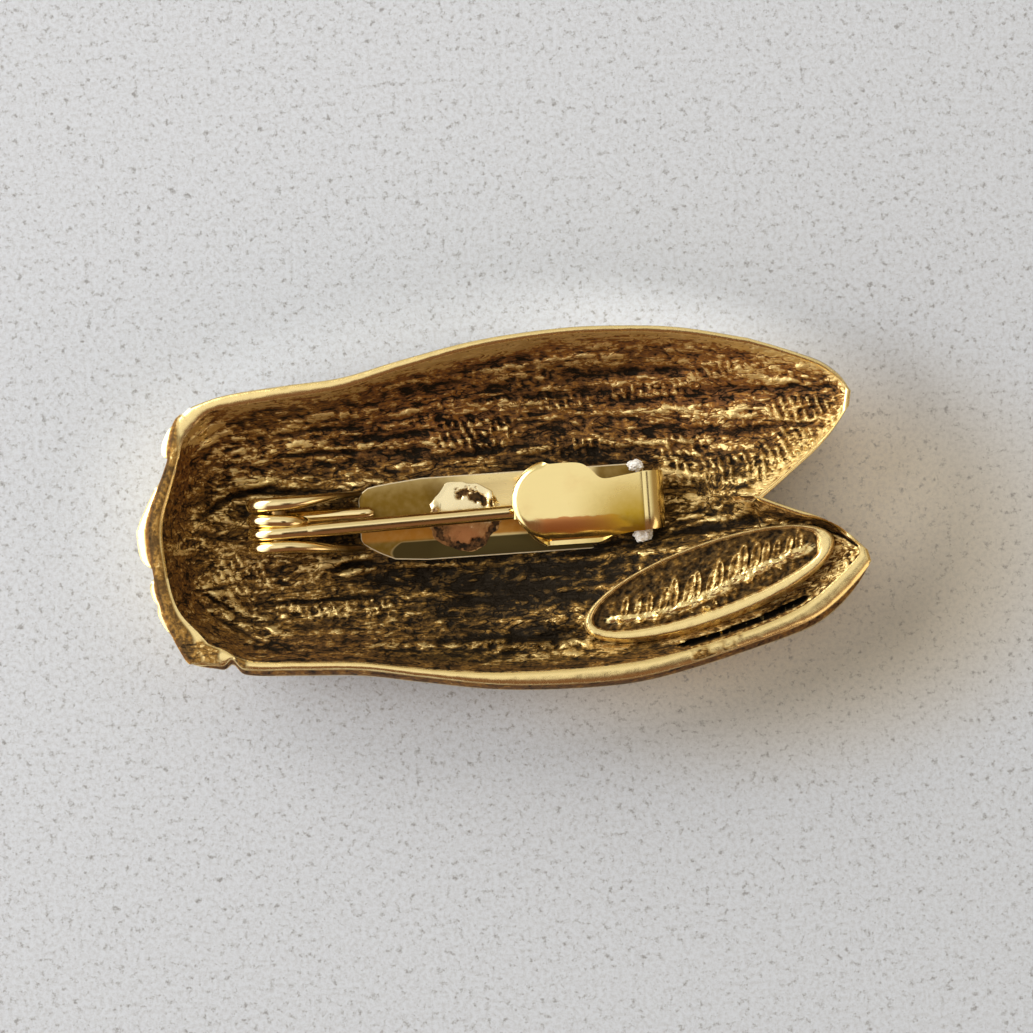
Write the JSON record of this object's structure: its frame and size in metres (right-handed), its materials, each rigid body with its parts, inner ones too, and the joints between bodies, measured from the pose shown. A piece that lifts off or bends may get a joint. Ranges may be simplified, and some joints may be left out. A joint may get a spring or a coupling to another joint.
{
  "type": "cicada brooch",
  "caption": "Hollow cast cicada brooch lying face down, with folded forked wings, an oval plaque in the hollow and a coil-sprung pin that swings out of a folded catch.",
  "frame": {"origin": "centre of the brooch's box, on the surface that it lies on", "axes": "+X from the head to the wing tips, +Y to the upper wing, +Z out of the hollow back"},
  "size_m": [0.0502, 0.0248, 0.0081],
  "materials": {
    "cast_metal": "antiqued gold tone casting, dark in the recesses and polished on the rim",
    "plaque_metal": "antiqued gold tone with a bright raised edge",
    "finding_sheet": "bright polished gold tone sheet with solder",
    "finding_wire": "bright polished gold tone wire"
  },
  "bodies": {
    "back": {"shell": "cast_metal", "oval_plaque": "plaque_metal", "base_plate": "finding_sheet", "hinge_axle": "finding_wire", "pin_coil": "finding_wire"},
    "pin": {"pin_stem": "finding_wire"}
  },
  "joints": [
    {"name": "pin_swing", "type": "hinge", "parent": "back", "child": "pin", "pos_m": [-0.01338, -0.00031, 0.00598], "axis": [0.9752, 0.0604, 0.2129], "range_deg": [0, 180]}
  ]
}
